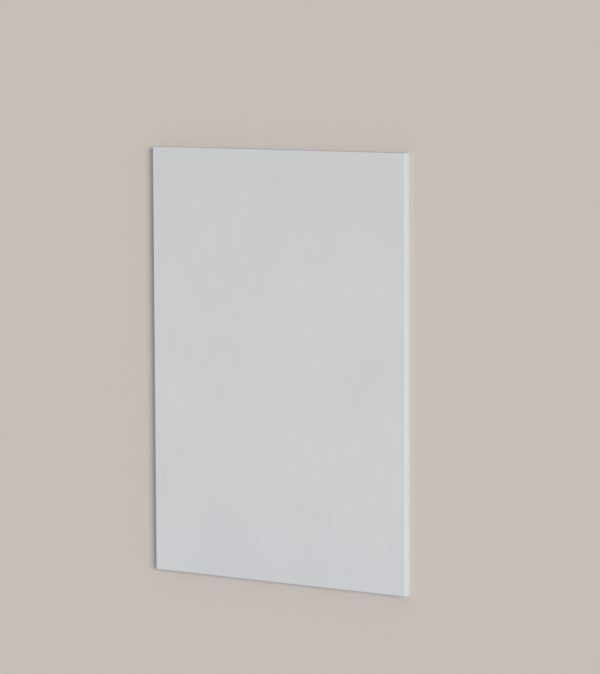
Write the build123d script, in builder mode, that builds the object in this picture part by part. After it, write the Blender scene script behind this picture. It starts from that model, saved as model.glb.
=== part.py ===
from build123d import *
import os

# Flat rectangular plywood sheet, painted all over, lying on its back face.
# X runs across the sheet, Y along it and Z through its thickness, in millimetres.
# The origin is the centre of the back face, so the sheet lies on Z = 0.

# Driving dimensions
sheet_width = 600.0
sheet_length = 870.0
sheet_thickness = 18.0
arris_radius = 1.0  # sanded onto every sawn edge and corner, so that the paint holds there
arris_share = 0.3  # most of the thickness that one arris may take, so that a thin sheet keeps flat edges

# Sheet: one sawn blank with all its edges and corners eased
with BuildPart() as sheet:
    with BuildSketch(Plane.XY):
        Rectangle(sheet_width, sheet_length)
    extrude(amount=sheet_thickness)
    fillet(sheet.edges(), min(arris_radius, arris_share * sheet_thickness))

sheet.part.label = "sheet"

os.makedirs("parts", exist_ok=True)
export_step(sheet.part, "parts/sheet.step")
print("sheet volume", round(sheet.part.volume), "mm3, size", sheet.part.bounding_box().size)
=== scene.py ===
import math

import bpy
from mathutils import Matrix, Vector


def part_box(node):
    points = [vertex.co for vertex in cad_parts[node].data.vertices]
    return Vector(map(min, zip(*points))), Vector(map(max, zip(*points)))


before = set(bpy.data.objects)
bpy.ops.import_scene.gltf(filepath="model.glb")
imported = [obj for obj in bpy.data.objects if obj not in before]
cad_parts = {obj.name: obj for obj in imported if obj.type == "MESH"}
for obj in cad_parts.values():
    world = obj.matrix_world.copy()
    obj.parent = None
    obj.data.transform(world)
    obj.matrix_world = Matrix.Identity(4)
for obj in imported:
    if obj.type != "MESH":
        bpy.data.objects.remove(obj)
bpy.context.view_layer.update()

# A plywood sheet painted pale grey, lying on its back face on a pale floor.
# The scene is in metres. X runs across the sheet, Y along it and Z up.

sheetLow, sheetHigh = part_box("sheet")
sheetSize = sheetHigh - sheetLow
mm = 0.001
print("frame loaded, sheet", [round(side / mm, 1) for side in sheetSize], "mm")


# A hex colour as seen on screen, turned to the linear numbers that shaders take
def linearColour(hexColour):
    parts = [int(hexColour[i:i + 2], 16) / 255 for i in (1, 3, 5)]
    return [c / 12.92 if c <= 0.04045 else ((c + 0.055) / 1.055) ** 2.4 for c in parts] + [1.0]


# Adds one node. settings are its own options, sockets its inputs by name or number. A socket is
# linked, a node is linked by its first output, and anything else is set as the value. A Mix node
# names its inputs alike, so they go by number: 0 is the factor, 2 and 3 are the two numbers that
# it mixes, and 6 and 7 the two colours, which come out at 2.
def addNode(tree, kind, settings=None, sockets=None):
    node = tree.nodes.new(kind)
    for name, value in (settings or {}).items():
        setattr(node, name, value)
    for name, value in (sockets or {}).items():
        if isinstance(value, bpy.types.Node):
            value = value.outputs[0]
        if isinstance(value, bpy.types.NodeSocket):
            tree.links.new(value, node.inputs[name])
        else:
            node.inputs[name].default_value = value
    return node


def emptyMaterial(name):
    material = bpy.data.materials.new(name)
    material.use_nodes = True
    material.node_tree.nodes.clear()
    return material


# The paint on the sheet. Lengths are in mm. A layer is a pattern in the coat or in the wood under
# it: size is that of its patches along X, Y and Z, and detail and shift are those of the noise that
# draws them. relief is a height, tone a share of the way from the full colour to the thin colour,
# and roughness is added to that of the face or of the edge. The thin colour also gives the painted
# shade below its darker tone.
greyPaint = {
    "lowColour": "#CED0D3",     # pale cool grey, at the -Y end, where a painted cool cast of light is strongest
    "highColour": "#CECECE",    # a touch less blue, at the +Y end, where the painted cool cast of light fades out
    "thinCoatAndShadeColour": "#C0C3C5",    # the same coat where the roller left less of it, and the darker tone of the painted shade
    "thinMiddle": 0.3,          # share of the thin colour in the middle of the sheet
    "shadeAtEnds": 0.13,           # painted shade: more of it at both ends, so the sheet is darker there
    "faceShadeLean": 0.04,           # painted shade: on the faces, more of it towards the -X side, away from the key light
    "edgeShadeLean": 0.1,            # painted shade: on the edges, more of it towards the +Y end
    "ior": 1.5,                 # acrylic paint
    "faceRoughness": 0.65,      # matt paint
    "edgeRoughness": 0.76,      # sawn edges drink the paint and look more matt
    "faceFrom": (0.3, 0.9),     # how far in from the sides the face's look takes over
    "faceLayers": {
        # broad unevenness of the coat
        "clouds": {"size": (190, 190, 190), "detail": 3.0, "shift": 4.7,
                   "relief": 0.0, "tone": 0.55, "roughness": 0.0},
        # flame figure of the peeled veneer, as contour lines, another one on the back
        "figure": {"size": (95, 760, 15), "detail": 1.2, "shift": 0.0, "rings": 16,
                   "relief": 0.016, "tone": 0.06, "roughness": 0.0},
        # harder and softer wood by turns
        "streaks": {"size": (2.6, 55, 30), "detail": 2.0, "shift": 0.0,
                    "relief": 0.02, "tone": 0.1, "roughness": 0.1},
        # pores, as short grooves, in truth about 0.3 wide, drawn coarser so that they show
        "pores": {"size": (1.0, 14, 30), "detail": 1.0, "shift": 2.9, "peaks": (0.08, 0.2),
                  "relief": -0.04, "tone": 0.22, "roughness": 0.05},
        # stipple of the roller
        "stipple": {"size": (2.2, 2.2, 2.2), "detail": 1.0, "shift": 7.3,
                    "relief": 0.08, "tone": 0.0, "roughness": 0.0},
    },
    "beadFrom": 3.2,            # the roller leaves a low bead of paint this far in from the sides
    "beadHalfWidth": 1.8,
    "bead": {"relief": 0.06, "tone": 0.0, "roughness": 0.0},
    "plies": 7,                 # as in poplar plywood of 18 mm
    "plyBlur": 0.13,            # how far the line between two plies is blurred, as a share of a ply
    # a ply that shows its end grain lies a little lower and drinks more of the paint
    "endGrain": {"relief": -0.12, "tone": 0.5, "roughness": 0.0},
    # open ends of its fibres, in truth much finer, drawn coarser so that they show
    "endPits": {"size": (1.4, 1.4, 1.4), "detail": 2.0, "shift": 2.1,
                "relief": 0.2, "tone": 1.0, "roughness": 0.0},
    # lines of the grain and of the saw along every ply
    "longGrain": {"size": (45, 45, 0.6), "detail": 2.0, "shift": 5.6,
                  "relief": 0.05, "tone": 0.35, "roughness": 0.0},
}
noiseMiddle = 0.5    # Blender's noise lies about this


# Noise about 0, from -0.5 to 0.5. With rings it becomes wavy lines, from -1 to 1. With peaks only
# its highest places stay, up to 1, and the rest is 0.
def layerPattern(tree, place, layer):
    stretched = addNode(tree, "ShaderNodeMapping", None, {
        "Vector": place, "Location": [layer["shift"]] * 3,
        "Scale": [1 / (size * mm) for size in layer["size"]]})
    noise = addNode(tree, "ShaderNodeTexNoise", None, {
        "Vector": stretched, "Scale": 1.0, "Detail": layer["detail"]})
    pattern = addNode(tree, "ShaderNodeMath", {"operation": "SUBTRACT"}, {0: noise, 1: noiseMiddle})
    if "rings" in layer:
        turns = addNode(tree, "ShaderNodeMath", {"operation": "MULTIPLY"}, {
            0: pattern, 1: 2 * math.pi * layer["rings"]})
        pattern = addNode(tree, "ShaderNodeMath", {"operation": "SINE"}, {0: turns})
    if "peaks" in layer:
        pattern = addNode(tree, "ShaderNodeMapRange", {"interpolation_type": "SMOOTHSTEP"}, {
            "Value": pattern, "From Min": layer["peaks"][0], "From Max": layer["peaks"][1]})
    return pattern


# Adds up what each pattern gives the relief, the tone and the roughness
def addLayers(tree, start, layers):
    total = dict(start)
    for pattern, layer in layers:
        for part in total:
            total[part] = addNode(tree, "ShaderNodeMath", {"operation": "MULTIPLY_ADD"}, {
                0: pattern, 1: layer[part], 2: total[part]})
    return total


# Face of the sheet: the veneer under the coat, the roller's stipple and the bead along the sides.
# The tone it starts from carries painted shade.
def paintedFace(tree, place, fromSides, coatAndShade, paint):
    layers = [(layerPattern(tree, place, layer), layer) for layer in paint["faceLayers"].values()]
    fromBead = addNode(tree, "ShaderNodeMath", {"operation": "SUBTRACT"}, {
        0: fromSides, 1: paint["beadFrom"] * mm})
    besideBead = addNode(tree, "ShaderNodeMath", {"operation": "ABSOLUTE"}, {0: fromBead})
    bead = addNode(tree, "ShaderNodeMapRange", {"interpolation_type": "SMOOTHSTEP"}, {
        "Value": besideBead, "From Max": paint["beadHalfWidth"] * mm, "To Min": 1.0, "To Max": 0.0})
    layers.append((bead, paint["bead"]))
    return addLayers(tree, {"relief": 0.0, "tone": coatAndShade, "roughness": paint["faceRoughness"]}, layers)


# Sawn edge of the sheet: every second ply shows end grain, with its pits, and the others show long
# grain. endsOrSides is 1 on the ends of the sheet and -1 on its sides, where the two kinds of ply
# change places. height goes from 0 at the back face to 2 at the front face. The tone it starts
# from carries painted shade.
def paintedEdge(tree, place, height, endsOrSides, coatAndShade, paint):
    plyTurn = addNode(tree, "ShaderNodeMath", {"operation": "MULTIPLY"}, {
        0: height, 1: math.pi * paint["plies"] / 2})
    plyWave = addNode(tree, "ShaderNodeMath", {"operation": "SINE"}, {0: plyTurn})
    endGrainWave = addNode(tree, "ShaderNodeMath", {"operation": "MULTIPLY"}, {0: plyWave, 1: endsOrSides})
    blur = math.sin(math.pi * paint["plyBlur"])
    endGrain = addNode(tree, "ShaderNodeMapRange", {"interpolation_type": "SMOOTHSTEP"}, {
        "Value": endGrainWave, "From Min": -blur, "From Max": blur})
    pits = layerPattern(tree, place, paint["endPits"])
    endPits = addNode(tree, "ShaderNodeMath", {"operation": "MULTIPLY"}, {0: pits, 1: endGrain})
    longGrain = layerPattern(tree, place, paint["longGrain"])
    layers = [(endGrain, paint["endGrain"]), (endPits, paint["endPits"]), (longGrain, paint["longGrain"])]
    return addLayers(tree, {"relief": 0.0, "tone": coatAndShade, "roughness": paint["edgeRoughness"]}, layers)


# Matt acrylic paint, rolled on plywood. It gives the eye an even pale grey with a soft dull sheen,
# in which the veneer's figure and pores and the roller's stipple show only as the faintest relief.
# Its colour also carries painted shade towards the ends, towards -X on the faces and towards +Y on
# the edges, and a painted cool cast of light towards -Y.
def rolledPaint(paint):
    material = emptyMaterial("rolledGreyPaintOnPlywood")
    tree = material.node_tree
    place = addNode(tree, "ShaderNodeTexCoord").outputs["Object"]

    # Where a point lies on the sheet: X and Y go from -1 to 1, and Z from 0 to 2
    placeOnSheet = addNode(tree, "ShaderNodeVectorMath", {"operation": "DIVIDE"}, {
        0: place, 1: sheetSize / 2})
    reach = addNode(tree, "ShaderNodeSeparateXYZ", None, {0: placeOnSheet}).outputs

    # How far inside the sheet's sides a point lies, and so whether it is on a face or on an edge,
    # and on which edge
    fromMiddle = addNode(tree, "ShaderNodeVectorMath", {"operation": "ABSOLUTE"}, {0: place})
    inward = addNode(tree, "ShaderNodeVectorMath", {"operation": "SUBTRACT"}, {
        0: sheetSize / 2, 1: fromMiddle})
    inside = addNode(tree, "ShaderNodeSeparateXYZ", None, {0: inward})
    fromSides = addNode(tree, "ShaderNodeMath", {"operation": "MINIMUM"}, {
        0: inside.outputs["X"], 1: inside.outputs["Y"]})
    onFace = addNode(tree, "ShaderNodeMapRange", {"interpolation_type": "SMOOTHSTEP"}, {
        "Value": fromSides, "From Min": paint["faceFrom"][0] * mm, "From Max": paint["faceFrom"][1] * mm})
    onSide = addNode(tree, "ShaderNodeMath", {"operation": "LESS_THAN"}, {
        0: inside.outputs["X"], 1: inside.outputs["Y"]})
    endsOrSides = addNode(tree, "ShaderNodeMapRange", None, {
        "Value": onSide, "To Min": 1.0, "To Max": -1.0})

    # How thin the coat is, as a share of the thin colour, with painted shade added towards the ends,
    # towards -X on the faces and towards +Y on the edges
    nearEnds = addNode(tree, "ShaderNodeMath", {"operation": "MULTIPLY"}, {0: reach["Y"], 1: reach["Y"]})
    coatAndShade = addNode(tree, "ShaderNodeMath", {"operation": "MULTIPLY_ADD"}, {
        0: nearEnds, 1: paint["shadeAtEnds"], 2: paint["thinMiddle"]})
    faceCoatAndShade = addNode(tree, "ShaderNodeMath", {"operation": "MULTIPLY_ADD"}, {
        0: reach["X"], 1: -paint["faceShadeLean"], 2: coatAndShade})
    edgeCoatAndShade = addNode(tree, "ShaderNodeMath", {"operation": "MULTIPLY_ADD"}, {
        0: reach["Y"], 1: paint["edgeShadeLean"], 2: coatAndShade})

    face = paintedFace(tree, place, fromSides, faceCoatAndShade, paint)
    edge = paintedEdge(tree, place, reach["Z"], endsOrSides, edgeCoatAndShade, paint)
    both = {part: addNode(tree, "ShaderNodeMix", {"data_type": "FLOAT"}, {
        0: onFace, 2: edge[part], 3: face[part]}) for part in face}
    bump = addNode(tree, "ShaderNodeBump", None, {
        "Height": both["relief"], "Strength": 1.0, "Distance": mm})
    # The colour turns a touch bluer towards -Y. That drift is a painted cool cast of light.
    towardsHigh = addNode(tree, "ShaderNodeMapRange", None, {"Value": reach["Y"], "From Min": -1.0})
    fullColour = addNode(tree, "ShaderNodeMix", {"data_type": "RGBA"}, {
        0: towardsHigh, 6: linearColour(paint["lowColour"]), 7: linearColour(paint["highColour"])})
    colour = addNode(tree, "ShaderNodeMix", {"data_type": "RGBA"}, {
        0: both["tone"], 6: fullColour.outputs[2], 7: linearColour(paint["thinCoatAndShadeColour"])})
    shader = addNode(tree, "ShaderNodeBsdfPrincipled", None, {
        "Base Color": colour.outputs[2], "Roughness": both["roughness"], "IOR": paint["ior"],
        "Normal": bump})
    addNode(tree, "ShaderNodeOutputMaterial", None, {"Surface": shader})
    return material


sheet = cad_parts["sheet"]
sheet.data.materials.clear()
sheet.data.materials.append(rolledPaint(greyPaint))
print("sheet painted")


# Floor and light. Lengths are in metres and angles in degrees. The two levels are the light that
# falls on the floor, as shares of the light in which a colour renders as it is written.
studio = {
    "floorColour": "#C4BEB7",   # pale, a little warm
    "floorSide": 90.0,          # so wide that its rim lies close to the horizon
    "skyLevel": 0.5,            # from all round
    "keyLevel": 0.507,          # from the key light
    "keyElevation": 37.2,
    "keyTurn": 10.0,            # from +X towards +Y
    "keyWidth": 23.1,           # as wide as a big softbox near the sheet, so that shadows are soft
}


# Backdrop paper under the sheet. It is quite matt and plain, so it shows only the sheet's shadow.
def makeFloor(setting):
    half = setting["floorSide"] / 2
    mesh = bpy.data.meshes.new("floor")
    corners = [(-half, -half, sheetLow.z), (half, -half, sheetLow.z),
               (half, half, sheetLow.z), (-half, half, sheetLow.z)]
    mesh.from_pydata(corners, [], [(0, 1, 2, 3)])
    floor = bpy.data.objects.new("floor", mesh)
    bpy.context.scene.collection.objects.link(floor)
    material = emptyMaterial("mattBackdropPaper")
    tree = material.node_tree
    shader = addNode(tree, "ShaderNodeBsdfDiffuse", None, {"Color": linearColour(setting["floorColour"])})
    addNode(tree, "ShaderNodeOutputMaterial", None, {"Surface": shader})
    mesh.materials.append(material)


# Even light from all round. Seen directly or in a reflection it has the colour of the lit floor,
# so that no horizon shows.
def makeSky(setting):
    world = bpy.data.worlds.new("studio")
    world.use_nodes = True
    tree = world.node_tree
    tree.nodes.clear()
    rays = addNode(tree, "ShaderNodeLightPath")
    seen = addNode(tree, "ShaderNodeMath", {"operation": "MAXIMUM"}, {
        0: rays.outputs["Is Camera Ray"], 1: rays.outputs["Is Glossy Ray"]})
    light = addNode(tree, "ShaderNodeBackground", None, {
        "Color": (1.0, 1.0, 1.0, 1.0), "Strength": setting["skyLevel"]})
    backdrop = addNode(tree, "ShaderNodeBackground", None, {
        "Color": linearColour(setting["floorColour"]),
        "Strength": setting["skyLevel"] + setting["keyLevel"]})
    both = addNode(tree, "ShaderNodeMixShader", None, {0: seen, 1: light, 2: backdrop})
    addNode(tree, "ShaderNodeOutputWorld", None, {"Surface": both})
    bpy.context.scene.world = world


# A lamp with parallel rays, which lights the sheet and all of the floor alike
def makeKeyLight(setting):
    elevation = math.radians(setting["keyElevation"])
    turn = math.radians(setting["keyTurn"])
    away = Vector((math.cos(elevation) * math.cos(turn), math.cos(elevation) * math.sin(turn),
                   math.sin(elevation)))
    lamp = bpy.data.lights.new("keyLight", "SUN")
    lamp.angle = math.radians(setting["keyWidth"])
    # With an energy of pi the light on a surface that faces the lamp would be at level 1
    lamp.energy = setting["keyLevel"] * math.pi / math.sin(elevation)
    key = bpy.data.objects.new("keyLight", lamp)
    key.rotation_euler = away.to_track_quat("Z", "Y").to_euler()
    bpy.context.scene.collection.objects.link(key)


makeFloor(studio)
makeSky(studio)
makeKeyLight(studio)
print("floor and light made")

# The camera looks down on the sheet as the photograph looks at it, with its +Y end at the top.
# Lengths are in metres and angles in degrees.
viewer = {
    "aim": (0.0563, 0.0645),    # X and Y of the point that it looks at, on the front face
    "distance": 6.5262,
    "azimuth": 100.71,          # from -Y round towards +X
    "elevation": 56.32,
    "roll": -0.232,
    "focus": 3285.1,            # focal length in pixels of the frame
    "frame": (600, 674),        # the photograph's, in pixels
}


def makeCamera(setting):
    lens = bpy.data.cameras.new("camera")
    # The longer side of the frame spans the width of the sensor
    lens.lens = setting["focus"] / max(setting["frame"]) * lens.sensor_width
    azimuth = math.radians(setting["azimuth"])
    elevation = math.radians(setting["elevation"])
    back = Vector((math.cos(elevation) * math.sin(azimuth), -math.cos(elevation) * math.cos(azimuth),
                   math.sin(elevation)))
    right = Vector((0.0, 1.0, 0.0)).cross(back).normalized()
    up = back.cross(right)
    turned = Matrix((right, up, back)).transposed() @ Matrix.Rotation(math.radians(setting["roll"]), 3, "Z")
    aim = Vector((*setting["aim"], sheetHigh.z))
    camera = bpy.data.objects.new("camera", lens)
    camera.matrix_world = Matrix.Translation(aim + back * setting["distance"]) @ turned.to_4x4()
    bpy.context.scene.collection.objects.link(camera)
    bpy.context.scene.camera = camera


makeCamera(viewer)
bpy.context.scene.view_settings.view_transform = "Standard"
print("camera set")
